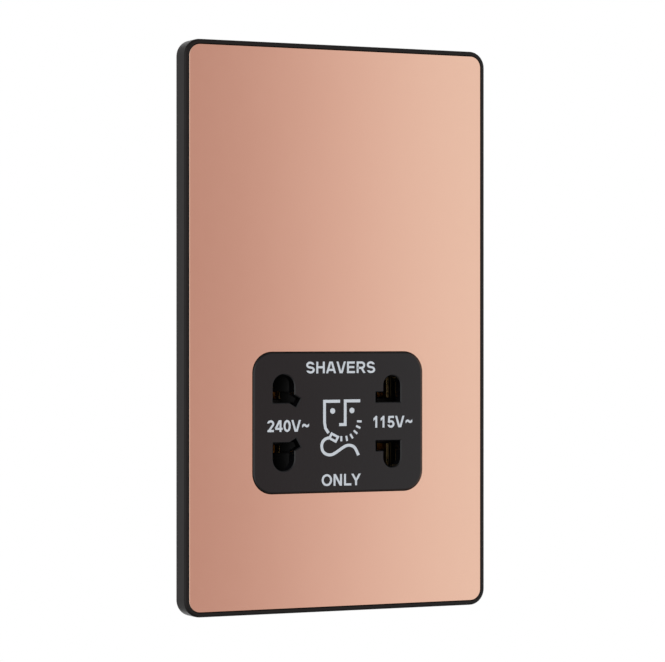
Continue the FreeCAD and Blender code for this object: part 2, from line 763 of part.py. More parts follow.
def winding_shape(inset):
    """The outline of a winding, inset from the bobbin's flanges."""
    reach_x = f"(leg_width - bobbin_gap * 2 - ({inset}))"
    reach_y = f"(core_stack / 2 + leg_width / 2 - bobbin_gap * 2 - ({inset}))"
    bevel = "(winding_corner - tan(22.5) * (" + inset + "))"
    inner_x, inner_y = f"({reach_x} - {bevel})", f"({reach_y} - {bevel})"
    return (outline, *[
        (f"{x} * {across}", f"core_centre + {y} * {deep}")
        for x, y, across, deep in (
            (-1, -1, inner_x, reach_y), (1, -1, inner_x, reach_y), (1, -1, reach_x, inner_y),
            (1, 1, reach_x, inner_y), (1, 1, inner_x, reach_y), (-1, 1, inner_x, reach_y),
            (-1, 1, reach_x, inner_y), (-1, -1, reach_x, inner_y))])


def winding(name, low, high):
    """A coil of wire and the tape round it, each a piece of its own."""
    coil = new_body(f"{name}_winding")
    add(coil, f"{low} + core_gap", f"{high} - core_gap", winding_shape("winding_inset + tape_thick"),
        plane="XY_Plane")
    cut(coil, f"{low} + core_gap", f"{high} - core_gap", tube_shape("bobbin_gap + bobbin_wall"),
        plane="XY_Plane")
    tape = new_body(f"{name}_tape")
    add(tape, f"{low} + core_gap", f"{high} - core_gap", winding_shape("winding_inset"), plane="XY_Plane")
    cut(tape, f"{low} + core_gap", f"{high} - core_gap", winding_shape("winding_inset + tape_thick"),
        plane="XY_Plane")


def windings():
    winding("primary", "bobbin_low + bobbin_wall", "bobbin_middle")
    winding("secondary", "bobbin_middle + bobbin_wall", "bobbin_high - bobbin_wall")


def thermal_cutout():
    """The resetting cut-out that lies on the core's front, beside the coil."""
    body = new_body("thermal_cutout")
    left = "leg_width + core_gap * 2"
    back = "core_centre - core_stack / 2 - core_gap / 2"
    middle = "(core_low + core_high) / 2"
    add(body, f"{back} - cutout_depth", back,
        (rounded, left, f"{left} + cutout_width", f"{middle} - cutout_height / 2",
         f"{middle} + cutout_height / 2", "cutout_width / 3"))


CONTACTS = {
    "contact_240_top": ("-left_pin", 1),
    "contact_240_bottom": ("-left_pin", -1),
    "contact_115_top": ("right_pin", 1),
    "contact_115_bottom": ("right_pin", -1),
}


def contact(name, across, end):
    """A folded brass clip that grips a pin between its two leaves, with a tail for its lead."""
    body = new_body(name)
    middle = f"(-insert_drop + {end} * contact_level)"
    low, high = f"{middle} - contact_width / 2", f"{middle} + contact_width / 2"
    half = "contact_gape / 2"
    outer = "(contact_gape / 2 + contact_strip)"
    add(body, low, high,
        (rounded, f"{across} - {outer}", f"{across} + {outer}", "contact_front", "contact_back",
         "contact_strip * 2"), plane="XY_Plane")
    mouth = "(contact_front + contact_strip * 3)"
    cut(body, low, high,
        (box, f"{across} - {half}", f"{across} + {half}", mouth, "contact_back - contact_strip"),
        (box, f"{across} - {outer} - contact_strip", f"{across} + {outer} + contact_strip",
         "contact_front - contact_strip", mouth), plane="XY_Plane")
    for side in (1, -1):
        foot, head = f"{across} + {side} * {half}", f"{across} + {side} * {outer}"
        add(body, low, high,
            (outline, (foot, mouth), (head, mouth), (f"{head} + {side} * contact_flare", "contact_front"),
             (f"{foot} + {side} * contact_flare", "contact_front")), plane="XY_Plane")
    add(body, f"{middle} - tail_width / 2", f"{middle} + tail_width / 2",
        (box, f"{across} - contact_strip / 2", f"{across} + contact_strip / 2", "contact_back",
         "contact_back + tail_length"), plane="XY_Plane")


def contacts():
    for name, (across, end) in CONTACTS.items():
        contact(name, across, end)


def contact_carrier():
    """The moulding that holds the clips, with a well through its middle for the switch lever."""
    body = new_body("contact_carrier")
    add(body, "shell_front", "carrier_back", box_at("0", "-insert_drop", "carrier_width", "carrier_height"))
    cut(body, "shell_front", "carrier_front", box_at("0", "-insert_drop", "cavity_width", "cavity_height"))
    for across, end in CONTACTS.values():
        middle = f"-insert_drop + {end} * contact_level"
        cut(body, "carrier_front", "carrier_back - carrier_floor",
            box_at(across, middle, "contact_gape + 2 * (contact_strip + contact_flare + contact_room)",
                   "contact_width + 2 * contact_room"))
        cut(body, "carrier_back - carrier_floor", "carrier_back",
            box_at(across, middle, "contact_strip + 2 * contact_room", "tail_width + 2 * contact_room"))
    cut(body, "carrier_front", "carrier_back", box_at("0", "-insert_drop", "well_width", "well_height"))
    cut(body, "-insert_drop - pin_length / 2", "-insert_drop + pin_length / 2",
        (circle, "0", "lever_level", "pin_radius"), plane="XY_Plane")


def shutter_slider():
    """The slider: a guided web, four arms with ramped ends and a fork behind for the lever."""
    body = new_body("shutter_slider")
    front, back = "slider_front", "slider_back"
    guide = "(insert_height / 2 - block_wall - guide_gap)"
    add(body, front, back,
        (box, "-slider_web", "slider_web", f"-insert_drop - {guide}", f"-insert_drop + {guide}"))
    near, far = "(lever_tip + fork_gap)", "(lever_tip + fork_gap + fork_wall)"
    low, high = "-insert_drop - fork_height / 2", "-insert_drop + fork_height / 2"
    add(body, back, "fork_end", (box, near, far, low, high), (box, f"-{far}", f"-{near}", low, high))
    for end in (1, -1):
        inner = f"-insert_drop + {end} * slider_inner"
        notch = f"-insert_drop + {end} * notch_level"
        outer = f"-insert_drop + {end} * slider_reach"
        left, right = "-slider_left", "slider_right"
        add(body, front, back,
            (outline, (f"{left} + notch_depth", inner), (f"{right} - notch_depth", inner),
             (f"{right} - notch_depth", notch), (right, notch), (right, outer), (left, outer), (left, notch),
             (f"{left} + notch_depth", notch)))
        for depth, one, other in (("0", notch, outer), ("notch_depth", inner, notch)):
            low, high = (one, other) if end > 0 else (other, one)
            cut(body, low, high, *ramps(depth, front), plane="XY_Plane")


def ramps(depth, front):
    """The corners to take off both ends of the arms, so that a pin pushes the slider aside."""
    left, right = f"(-slider_left + {depth})", f"(slider_right - {depth})"
    return [
        (outline, (left, front), (f"{left} + slider_ramp", front), (left, f"{front} + slider_ramp")),
        (outline, (right, front), (right, f"{front} + slider_ramp"), (f"{right} - slider_ramp", front)),
    ]


def zigzag(sketch, start, end, reach):
    """A folded strip from start to end along X, its folds reaching above and below the middle line."""
    run = f"((({end}) - ({start})) / {SPRING_FOLDS})"
    lean = f"(spring_strip / 2 * sqrt(1 + (2 * {reach} / {run}) * (2 * {reach} / {run})))"
    folds = [(f"{start} + {fold} * {run}", f"-insert_drop + {1 if fold % 2 else -1} * {reach}")
             for fold in range(SPRING_FOLDS + 1)]
    upper = [(across, f"{up} + {lean}") for across, up in folds]
    lower = [(across, f"{up} - {lean}") for across, up in folds]
    outline(sketch, *upper, *reversed(lower))


def slider_spring(name, start, end):
    """A folded spring strip between the slider's web and the wall of the block."""
    body = new_body(name)
    middle = "(slider_front + slider_thick / 2)"
    add(body, f"{middle} - spring_width / 2", f"{middle} + spring_width / 2",
        (zigzag, start, end, "spring_reach"))


def slider_springs():
    wall = "(insert_width / 2 - block_wall - spring_gap)"
    web = "(slider_web + spring_gap)"
    slider_spring("slider_spring_left", f"-{wall}", f"-{web}")
    slider_spring("slider_spring_right", web, wall)


def switch_lever():
    """The lever: a round tip in the slider's fork, a hub on the pin and an arm that carries the contact."""
    body = new_body("switch_lever")
    low, high = "-insert_drop - lever_width / 2", "-insert_drop + lever_width / 2"
    add(body, low, high,
        (box, "-lever_arm / 2", "lever_arm / 2", "lever_level - lever_front", "lever_level + lever_rear"),
        plane="XY_Plane")
    add(body, low, high, (circle, "0", "lever_level - lever_front", "lever_tip"), plane="XY_Plane")
    add(body, low, high, (circle, "0", "lever_level", "lever_hub"), plane="XY_Plane")
    cut(body, low, high, (circle, "0", "lever_level", "pin_radius + pin_gap"), plane="XY_Plane")


def moving_contact():
    """The brass cap on the lever's rear end."""
    body = new_body("moving_contact")
    low, high = "-insert_drop - lever_width / 2 + 1", "-insert_drop + lever_width / 2 - 1"
    half = "lever_arm / 2"
    back = "lever_level + lever_rear"
    add(body, low, high,
        (box, f"-({half} + cap_thick)", f"{half} + cap_thick", f"{back} - cap_length",
         f"{back} + cap_thick"), plane="XY_Plane")
    cut(body, low, high,
        (box, f"-{half}", half, f"{back} - cap_length", back), plane="XY_Plane")


def lever_pin():
    """The steel pin that the lever rocks on."""
    pin = doc.addObject("Part::Cylinder", "lever_pin")
    pin.Label = "lever_pin"
    pin.setExpression("Radius", linked("pin_radius"))
    pin.setExpression("Height", linked("pin_length"))
    pin.setExpression("Placement.Base.y", linked("lever_level"))
    pin.setExpression("Placement.Base.z", linked("-insert_drop - pin_length / 2"))
    pieces.append(pin)


def fixed_contact(name, side):
    """A brass angle on the carrier's back, which the moving contact meets at the end of its swing."""
    body = new_body(name)
    reach = ("((lever_rear + cap_thick) * sin(swing_angle) + (lever_arm / 2 + cap_thick) * cos(swing_angle)"
             " + switch_gap)")
    near, far = f"{side}{reach}", f"{side}({reach} + contact_strip)"
    foot = f"{side}(well_width / 2 + tail_length / 2)"
    add(body, "-insert_drop - lever_width / 2", "-insert_drop + lever_width / 2",
        (outline, (near, "carrier_back"), (foot, "carrier_back"), (foot, "carrier_back + contact_strip"),
         (far, "carrier_back + contact_strip"), (far, "carrier_back + tail_length"),
         (near, "carrier_back + tail_length")), plane="XY_Plane")


def fixed_contacts():
    fixed_contact("fixed_contact_right", "")
    fixed_contact("fixed_contact_left", "-")


def terminal_block():
    """The moulding behind the shallow bay that holds the mains terminals."""
    body = new_body("terminal_block")
    back, inner = "bay_depth + block_depth", "bay_depth + terminal_depth + 2 * terminal_gap"
    add(body, "bay_depth", back, box_at("0", "-block_level", "block_width", "block_height"))
    for across in terminal_places():
        cut(body, "bay_depth", inner,
            box_at(across, "-block_level", "terminal_width + 2 * terminal_gap",
                   "terminal_height + 2 * terminal_gap"))
        cut(body, inner, back, square(across, "-block_level", "clamp_radius + clamp_room"))
        cut(body, "-block_level - block_height / 2", "-block_level",
            square(across, "wire_depth", "entry_room"), plane="XY_Plane")
    cut(body, "bay_depth", back, (circle, "0", "-block_level", "small_radius + small_gap"))


def terminal(name, across, front, middle):
    """A brass pillar with a hole for the wire from below and a tapped hole for its screw from behind."""
    body = new_body(name)
    add(body, front, f"{front} + terminal_depth", box_at(across, middle, "terminal_width", "terminal_height"))
    cut(body, f"{middle} - terminal_height / 2", f"{middle} + terminal_height / 2",
        (circle, across, f"{front} + terminal_depth / 2", "wire_radius"), plane="XY_Plane")
    cut(body, f"{front} + terminal_depth / 2 + wire_radius / 2", f"{front} + terminal_depth",
        (circle, across, middle, "clamp_radius"))


def terminals():
    left, right = terminal_places()
    terminal("terminal_live", right, "(bay_depth + terminal_gap)", "-block_level")
    terminal("terminal_neutral", left, "(bay_depth + terminal_gap)", "-block_level")
    terminal("terminal_earth", "-earth_offset", "steel_back", "-earth_level")


def screw(name, across, up, seat, tip, radius, head="", thick="", neck=""):
    """A screw along Y from its seat to its tip; its head, if it has one, stands behind the seat."""
    way = 1 if size(tip) > size(seat) else -1
    lengths = [(seat, tip, radius)]
    if neck:
        thread = f"{seat} + {way} * neck_length"
        lengths = [(seat, thread, neck), (thread, tip, radius)]
    if head:
        lengths.append((f"({seat}) - {way} * {thick}", seat, head))
    shafts = []
    for start, end, size_text in lengths:
        shaft = doc.addObject("Part::Cylinder", f"{name}_shaft")
        shaft.Placement.Rotation = FreeCAD.Rotation(FreeCAD.Vector(1, 0, 0), -90 * way)
        shaft.setExpression("Radius", linked(size_text))
        shaft.setExpression("Height", linked(f"{way} * (({end}) - ({start}))"))
        shaft.setExpression("Placement.Base.x", linked(across))
        shaft.setExpression("Placement.Base.y", linked(start))
        shaft.setExpression("Placement.Base.z", linked(up))
        shafts.append(shaft)
    if not head:
        return shafts[0]
    whole = doc.addObject("Part::MultiFuse", name)
    whole.Shapes = shafts
    return whole


def screws(name, places):
    """A group of like screws that share one file."""
    group = doc.addObject("Part::Compound", name)
    group.Label = name
    group.Links = [screw(f"{name}_{i}", *place) for i, place in enumerate(places)]
    pieces.append(group)


def all_screws():
    """Fixing screws from the front, housing and block screws from behind, and the terminals' grub screws."""
    screws("fixing_screws", [
        ("0", f"{end} * fixing_spacing / 2", "-steel_thick", "-steel_thick + fixing_length",
         "fixing_radius", "head_radius", "head_height", "neck_radius") for end in (1, -1)])
    screws("housing_screws", [
        (across, up, "ear_back", "steel_front", "small_radius - small_gap / 2", "small_head", "head_thick")
        for across, up in ear_places()])
    screws("block_screw", [
        ("0", "-block_level", "bay_depth + block_depth", "bay_depth - housing_wall",
         "small_radius - small_gap / 2", "small_head", "head_thick")])
    seats = [(x, "-block_level", "bay_depth + terminal_gap") for x in terminal_places()]
    seats.append(("-earth_offset", "-earth_level", "steel_back"))
    screws("terminal_screws", [
        (x, z, f"{front} + terminal_depth + clamp_stand",
         f"{front} + terminal_depth / 2 + wire_radius + clamp_gap * 2", "clamp_radius - clamp_gap / 2")
        for x, z, front in seats])


def check(piece):
    """Stops the script if a piece or anything that it is built from has failed."""
    for item in doc.Objects:
        if "Invalid" in item.State or "Error" in item.State:
            raise RuntimeError(f"{item.Label} failed: {item.State}")
    if piece.Shape.isNull() or not piece.Shape.isValid():
        raise RuntimeError(f"{piece.Label} has no valid shape")


def build():
    fill_sheet()
    for make in (front_plate, edge_frame, mounting_frame, socket_face, rear_housing, core_e, core_i,
                 core_strap, bobbin, windings, thermal_cutout, contacts, contact_carrier, shutter_slider,
                 slider_springs, switch_lever, moving_contact, lever_pin, fixed_contacts, terminal_block,
                 terminals, all_screws):
        make()
    doc.recompute()
    for piece in pieces:
        check(piece)
    os.makedirs("parts", exist_ok=True)
    for piece in pieces:
        piece.Shape.exportStep(f"parts/{piece.Label}.step")


build()
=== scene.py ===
"""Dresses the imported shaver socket: finishes for every piece, printing, threaded screws, and the studio."""

import json
import math

import bmesh
import bpy
from mathutils import Matrix, Vector


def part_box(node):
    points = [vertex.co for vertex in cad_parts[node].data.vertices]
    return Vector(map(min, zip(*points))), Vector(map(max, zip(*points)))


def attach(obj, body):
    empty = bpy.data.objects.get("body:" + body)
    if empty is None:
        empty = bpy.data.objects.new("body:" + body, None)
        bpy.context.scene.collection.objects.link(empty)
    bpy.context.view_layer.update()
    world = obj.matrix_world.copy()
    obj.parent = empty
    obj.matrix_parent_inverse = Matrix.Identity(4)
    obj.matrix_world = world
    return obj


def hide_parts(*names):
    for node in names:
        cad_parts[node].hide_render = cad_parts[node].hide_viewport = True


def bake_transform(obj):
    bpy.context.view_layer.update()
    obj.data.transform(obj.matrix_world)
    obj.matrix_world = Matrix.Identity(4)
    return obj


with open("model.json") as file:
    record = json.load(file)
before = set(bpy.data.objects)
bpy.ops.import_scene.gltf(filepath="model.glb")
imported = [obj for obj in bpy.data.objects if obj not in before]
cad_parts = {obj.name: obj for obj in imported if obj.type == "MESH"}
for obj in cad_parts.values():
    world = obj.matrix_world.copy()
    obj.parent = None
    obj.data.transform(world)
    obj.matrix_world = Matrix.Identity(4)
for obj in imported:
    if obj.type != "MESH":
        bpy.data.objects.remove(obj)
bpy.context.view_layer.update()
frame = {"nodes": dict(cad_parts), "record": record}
scene = bpy.context.scene

# Lengths are in metres; those written in millimetres are times this
MM = 0.001

# The camera, level and to the left of the plate
CAMERA_TARGET = Vector((0.96, 0.0, -0.72)) * MM
CAMERA_DISTANCE = 752.9 * MM
CAMERA_AZIMUTH = math.radians(25.965)
SENSOR_WIDTH = 36.0
LENS = 156.88
NEAR, FAR = 0.01, 20.0


def set_up_camera():
    """A long lens at the photograph's angle."""
    lens = bpy.data.cameras.new("photo_camera")
    lens.sensor_fit = "HORIZONTAL"
    lens.sensor_width = SENSOR_WIDTH
    lens.lens = LENS
    lens.clip_start, lens.clip_end = NEAR, FAR
    camera = bpy.data.objects.new("photo_camera", lens)
    scene.collection.objects.link(camera)
    forward = Vector((math.sin(CAMERA_AZIMUTH), math.cos(CAMERA_AZIMUTH), 0.0))
    camera.location = CAMERA_TARGET - forward * CAMERA_DISTANCE
    camera.rotation_euler = forward.to_track_quat("-Z", "Y").to_euler()
    scene.camera = camera


set_up_camera()

# The length after which a wave texture's bands repeat at a scale of 1, and the samples of an eased edge
BAND_LENGTH = math.pi / 10.0
EDGE_SAMPLES = 6


def fill(tree, node, inputs):
    """Gives inputs of a node a value each, or a link from another node's output."""
    for socket, value in inputs.items():
        if isinstance(value, bpy.types.NodeSocket):
            tree.links.new(value, node.inputs[socket])
        else:
            node.inputs[socket].default_value = value


def new_node(tree, kind, inputs=None, **settings):
    """A node with its settings made and its inputs filled."""
    node = tree.nodes.new(kind)
    for setting, value in settings.items():
        setattr(node, setting, value)
    fill(tree, node, inputs or {})
    return node


class Finish:
    """A material's node tree, with short calls for the nodes that the finishes share."""

    def __init__(self, name, colour, roughness, metallic=0.0):
        self.material = bpy.data.materials.new(name)
        self.material.use_nodes = True
        self.tree = self.material.node_tree
        self.shader = self.tree.nodes["Principled BSDF"]
        self.set("Base Color", (*colour, 1.0))
        self.set("Roughness", roughness)
        self.set("Metallic", metallic)
        self.place = self.node("ShaderNodeTexCoord").outputs["Object"]

    def node(self, kind, inputs=None, **settings):
        return new_node(self.tree, kind, inputs, **settings)

    def set(self, socket, value):
        fill(self.tree, self.shader, {socket: value})

    def noise(self, size, detail=2.0, grain=(1.0, 1.0, 1.0)):
        """Noise with patches about size across, stretched along an axis where the grain is below 1."""
        place = self.node("ShaderNodeMapping", {"Vector": self.place, "Scale": grain}).outputs["Vector"]
        noise = self.node("ShaderNodeTexNoise", {"Vector": place, "Scale": 1.0 / size, "Detail": detail})
        return noise.outputs["Fac"]

    def crystals(self, size):
        """Cells about size across, each with a value of its own."""
        cells = self.node("ShaderNodeTexVoronoi", {"Vector": self.place, "Scale": 1.0 / size})
        return self.node("ShaderNodeRGBToBW", {"Color": cells.outputs["Color"]}).outputs["Val"]

    def layers(self, pitch, axis):
        """Fine lines across an axis, one for each pitch."""
        bands = self.node("ShaderNodeTexWave", {"Vector": self.place, "Scale": BAND_LENGTH / pitch},
                          wave_type="BANDS", bands_direction=axis, wave_profile="SIN")
        return bands.outputs["Fac"]

    def colour(self, value, first, second):
        """The first colour where value is 0 and the second where it is 1."""
        mix = self.node("ShaderNodeMix", {"Factor": value, "A": (*first, 1.0), "B": (*second, 1.0)},
                        data_type="RGBA")
        self.set("Base Color", mix.outputs["Result"])

    def roughness(self, value, low, high):
        """The low roughness where value is 0 and the high one where it is 1."""
        spread = self.node("ShaderNodeMapRange", {"Value": value, "To Min": low, "To Max": high})
        self.set("Roughness", spread.outputs["Result"])

    def relief(self, value, depth, edge=None):
        """Bump of that depth, over edges that are eased by the edge radius."""
        bump = self.node("ShaderNodeBump", {"Height": value, "Distance": depth})
        if edge:
            eased = self.node("ShaderNodeBevel", {"Radius": edge}, samples=EDGE_SAMPLES)
            fill(self.tree, bump, {"Normal": eased.outputs["Normal"]})
        self.set("Normal", bump.outputs["Normal"])


def copper_finish():
    """Polished copper plating: nearly a mirror, with the faint waviness of pressed sheet."""
    finish = Finish("copper_finish", (0.82, 0.53, 0.40), 0.09, metallic=1.0)
    finish.colour(finish.noise(40 * MM, detail=3.0), (0.812, 0.523, 0.392), (0.828, 0.541, 0.408))
    finish.roughness(finish.noise(3 * MM, detail=4.0), 0.075, 0.11)
    finish.relief(finish.noise(12 * MM, detail=1.0), 0.004 * MM)
    return finish.material


def black_moulding():
    """Black moulded rim with a fine satin grain."""
    finish = Finish("black_moulding", (0.005, 0.004, 0.004), 0.32)
    finish.set("Specular IOR Level", 0.24)
    finish.colour(finish.noise(6 * MM, detail=3.0), (0.0045, 0.0034, 0.0031), (0.0065, 0.0050, 0.0046))
    finish.roughness(finish.noise(1.2 * MM, detail=4.0), 0.28, 0.36)
    finish.relief(finish.noise(0.25 * MM), 0.006 * MM, edge=0.25 * MM)
    return finish.material


def charcoal_face():
    """Charcoal moulding with a soft satin face."""
    finish = Finish("charcoal_face", (0.003, 0.003, 0.0036), 0.13)
    finish.set("Specular IOR Level", 0.40)
    finish.colour(finish.noise(9 * MM, detail=3.0), (0.0024, 0.0025, 0.0031), (0.0036, 0.0037, 0.0044))
    finish.roughness(finish.noise(1.5 * MM, detail=4.0), 0.11, 0.15)
    finish.relief(finish.noise(0.22 * MM), 0.008 * MM, edge=0.12 * MM)
    return finish.material


def galvanised_steel():
    """Pressed zinc-coated steel, with the coating's pale crystals."""
    finish = Finish("galvanised_steel", (0.56, 0.58, 0.60), 0.38, metallic=1.0)
    spangle = finish.crystals(3.5 * MM)
    finish.colour(spangle, (0.50, 0.52, 0.55), (0.66, 0.68, 0.70))
    finish.roughness(spangle, 0.28, 0.46)
    finish.relief(finish.noise(0.6 * MM, detail=3.0), 0.01 * MM, edge=0.15 * MM)
    return finish.material


def zinc_screw():
    """Zinc plate on turned steel."""
    finish = Finish("zinc_screw", (0.62, 0.63, 0.64), 0.28, metallic=1.0)
    finish.colour(finish.noise(1.5 * MM, detail=3.0), (0.55, 0.56, 0.58), (0.70, 0.71, 0.70))
    finish.roughness(finish.noise(0.5 * MM, detail=3.0), 0.22, 0.36)
    finish.relief(finish.noise(0.2 * MM), 0.004 * MM, edge=0.06 * MM)
    return finish.material


def housing_moulding():
    """White moulding, spark-finished in the tool."""
    finish = Finish("housing_moulding", (0.74, 0.74, 0.71), 0.48)
    finish.colour(finish.noise(15 * MM), (0.71, 0.71, 0.68), (0.76, 0.76, 0.735))
    finish.roughness(finish.noise(2 * MM, detail=3.0), 0.42, 0.54)
    finish.relief(finish.noise(0.35 * MM, detail=3.0), 0.012 * MM, edge=0.3 * MM)
    return finish.material


def terminal_moulding():
    """Grey-white moulding that stands the heat of a terminal."""
    finish = Finish("terminal_moulding", (0.58, 0.58, 0.55), 0.42)
    finish.colour(finish.noise(4 * MM, detail=3.0), (0.54, 0.54, 0.51), (0.61, 0.61, 0.58))
    finish.roughness(finish.noise(1 * MM, detail=3.0), 0.36, 0.48)
    finish.relief(finish.noise(0.3 * MM), 0.01 * MM, edge=0.2 * MM)
    return finish.material


def brass():
    """Rolled brass, drawn along its length."""
    finish = Finish("brass", (0.72, 0.53, 0.24), 0.28, metallic=1.0)
    drawn = finish.noise(0.5 * MM, detail=3.0, grain=(1.0, 0.12, 1.0))
    finish.colour(drawn, (0.66, 0.47, 0.20), (0.80, 0.61, 0.30))
    finish.roughness(drawn, 0.22, 0.36)
    finish.relief(drawn, 0.004 * MM, edge=0.08 * MM)
    return finish.material


def laminations():
    """A pressed stack of varnished steel sheets, 0.5 mm each."""
    finish = Finish("laminations", (0.14, 0.14, 0.15), 0.5, metallic=0.6)
    sheets = finish.layers(0.5 * MM, "Y")
    finish.colour(sheets, (0.07, 0.07, 0.075), (0.22, 0.22, 0.23))
    finish.roughness(finish.noise(2 * MM, detail=3.0), 0.42, 0.6)
    finish.relief(sheets, 0.03 * MM)
    return finish.material


def bobbin_nylon():
    """Natural nylon, a little translucent."""
    finish = Finish("bobbin_nylon", (0.80, 0.77, 0.66), 0.4)
    finish.set("Subsurface Weight", 0.25)
    finish.set("Subsurface Scale", 1.5 * MM)
    finish.colour(finish.noise(8 * MM), (0.77, 0.74, 0.62), (0.83, 0.80, 0.70))
    finish.relief(finish.noise(0.4 * MM), 0.01 * MM, edge=0.2 * MM)
    return finish.material


def enamelled_copper():
    """Turns of enamelled wire, side by side."""
    finish = Finish("enamelled_copper", (0.45, 0.16, 0.06), 0.3, metallic=0.7)
    turns = finish.layers(0.32 * MM, "Z")
    finish.colour(turns, (0.22, 0.06, 0.025), (0.55, 0.21, 0.08))
    finish.relief(turns, 0.08 * MM)
    return finish.material


def winding_tape():
    """Yellow polyester tape with the wire's turns faint beneath it."""
    finish = Finish("winding_tape", (0.72, 0.52, 0.08), 0.22)
    finish.colour(finish.noise(5 * MM), (0.68, 0.48, 0.07), (0.76, 0.57, 0.11))
    finish.relief(finish.layers(0.32 * MM, "Z"), 0.012 * MM)
    return finish.material


def cutout_case():
    """The cut-out's glossy black case."""
    finish = Finish("cutout_case", (0.02, 0.02, 0.022), 0.2)
    finish.colour(finish.noise(3 * MM), (0.016, 0.016, 0.018), (0.024, 0.024, 0.027))
    finish.relief(finish.noise(0.5 * MM), 0.004 * MM, edge=0.15 * MM)
    return finish.material


def slider_moulding():
    """Black acetal, smooth where it slides."""
    finish = Finish("slider_moulding", (0.004, 0.004, 0.004), 0.42)
    finish.set("Specular IOR Level", 0.15)
    finish.colour(finish.noise(3 * MM), (0.003, 0.003, 0.003), (0.005, 0.005, 0.005))
    finish.relief(finish.noise(0.3 * MM), 0.005 * MM, edge=0.1 * MM)
    return finish.material


def lever_moulding():
    """Natural acetal."""
    finish = Finish("lever_moulding", (0.74, 0.73, 0.68), 0.35)
    finish.colour(finish.noise(2 * MM), (0.71, 0.70, 0.65), (0.77, 0.76, 0.72))
    finish.relief(finish.noise(0.3 * MM), 0.006 * MM, edge=0.1 * MM)
    return finish.material


def spring_steel():
    """Bright rolled strip."""
    finish = Finish("spring_steel", (0.50, 0.51, 0.53), 0.22, metallic=1.0)
    rolled = finish.noise(0.3 * MM, detail=3.0, grain=(0.2, 1.0, 1.0))
    finish.colour(rolled, (0.44, 0.45, 0.47), (0.58, 0.59, 0.60))
    finish.relief(rolled, 0.003 * MM)
    return finish.material


def legend_ink():
    """Pale grey printing ink, very slightly uneven."""
    finish = Finish("legend_ink", (0.55, 0.59, 0.63), 0.5)
    finish.colour(finish.noise(0.5 * MM, detail=3.0), (0.505, 0.54, 0.575), (0.60, 0.645, 0.69))
    finish.relief(finish.noise(0.15 * MM), 0.004 * MM)
    return finish.material


FINISHES = {make.__name__: make() for make in (
    copper_finish, black_moulding, charcoal_face, galvanised_steel, zinc_screw, housing_moulding,
    terminal_moulding, brass, laminations, bobbin_nylon, enamelled_copper, winding_tape, cutout_case,
    slider_moulding, lever_moulding, spring_steel, legend_ink)}


def dress_nodes():
    """Gives each CAD node the finish that the record names for it."""
    for subpart in frame["record"]["subparts"]:
        piece = frame["nodes"][subpart["node"]]
        piece.data.materials.clear()
        piece.data.materials.append(FINISHES[subpart["material_slot"]])


dress_nodes()


def finished(piece_name, mesh, finish, body="housing"):
    """Puts a mesh that is in place into the scene as one of the object's pieces, on a body if any."""
    piece = bpy.data.objects.new(piece_name, mesh)
    scene.collection.objects.link(piece)
    mesh.materials.clear()
    mesh.materials.append(FINISHES[finish])
    if body:
        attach(piece, body)
    return piece


def to_mesh(mesh_name, shape, crease=None):
    """Ends a bmesh as a mesh with its faces outwards: flat, or smooth up to the crease angle if any."""
    bmesh.ops.recalc_face_normals(shape, faces=shape.faces)
    for face in shape.faces:
        face.smooth = crease is not None
    mesh = bpy.data.meshes.new(mesh_name)
    shape.to_mesh(mesh)
    shape.free()
    if crease is not None:
        mesh.set_sharp_from_angle(angle=math.radians(crease))
    return mesh


def ring_mesh(mesh_name, rings, crease=None, looped=False):
    """The mesh of a face drawn out through rings of points, closed at both ends or run into a loop."""
    # From the last ring back, so that a thread's faces split along it and not across it
    rings = rings[::-1]
    shape = bmesh.new()
    first = [shape.verts.new(point) for point in rings[0]]
    face = shape.faces.new(first)
    for ring in rings[1:] + rings[:1] if looped else rings[1:]:
        face, = bmesh.ops.extrude_discrete_faces(shape, faces=[face])["faces"]
        for corner, point in zip(face.verts, ring):
            corner.co = point
    if looped:
        corners = list(face.verts)
        shape.faces.remove(face)
        bmesh.ops.weld_verts(shape, targetmap=dict(zip(corners, first)))
    else:
        shape.faces.new(first)
    return to_mesh(mesh_name, shape, crease)


def joined(mesh_name, meshes):
    """One mesh of several, which are used up."""
    whole = bmesh.new()
    for mesh in meshes:
        whole.from_mesh(mesh)
        bpy.data.meshes.remove(mesh)
    mesh = bpy.data.meshes.new(mesh_name)
    whole.to_mesh(mesh)
    whole.free()
    return mesh


# The printing lies on the socket's face; across and up are in millimetres from the plate's middle
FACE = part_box("socket_face")[0].y
ON_FACE = Matrix.Translation((0.0, FACE, 0.0)) @ Matrix.Rotation(math.pi / 2, 4, "X")
INK_THICKNESS = 0.03 * MM

# Lines that cross are each lower than the one before by this share of the ink
LAYER_STEP = 0.08

# Points nearer than this, in millimetres, are one
SAME_PLACE = 1e-6

# The steps of a steered curve, of part of an oval and of a full round
ARCH_STEPS, BEND_STEPS, ROUND_STEPS = 8, 16, 36

# The part of a sine wave that a swung dash shows, in degrees
SWUNG_START, SWUNG_TURN = -60, 480


def line_edges(points, width, closed, trimmed):
    """The two edges of a line, mitred at corners; its ends are trimmed level or upright if asked."""
    edges = []
    for i, point in enumerate(points):
        ways = []
        if i or closed:
            ways.append((point - points[i - 1]).normalized())
        if i < len(points) - 1 or closed:
            ways.append((points[(i + 1) % len(points)] - point).normalized())
        way = ways[0]
        aside = sum((each.orthogonal() for each in ways), Vector((0.0, 0.0))).normalized()
        aside *= width / 2 / aside.dot(way.orthogonal())
        if trimmed and len(ways) == 1:
            aside -= way * (aside.y / way.y if abs(way.y) > abs(way.x) else aside.x / way.x)
        edges.append((point + aside, point - aside))
    return edges


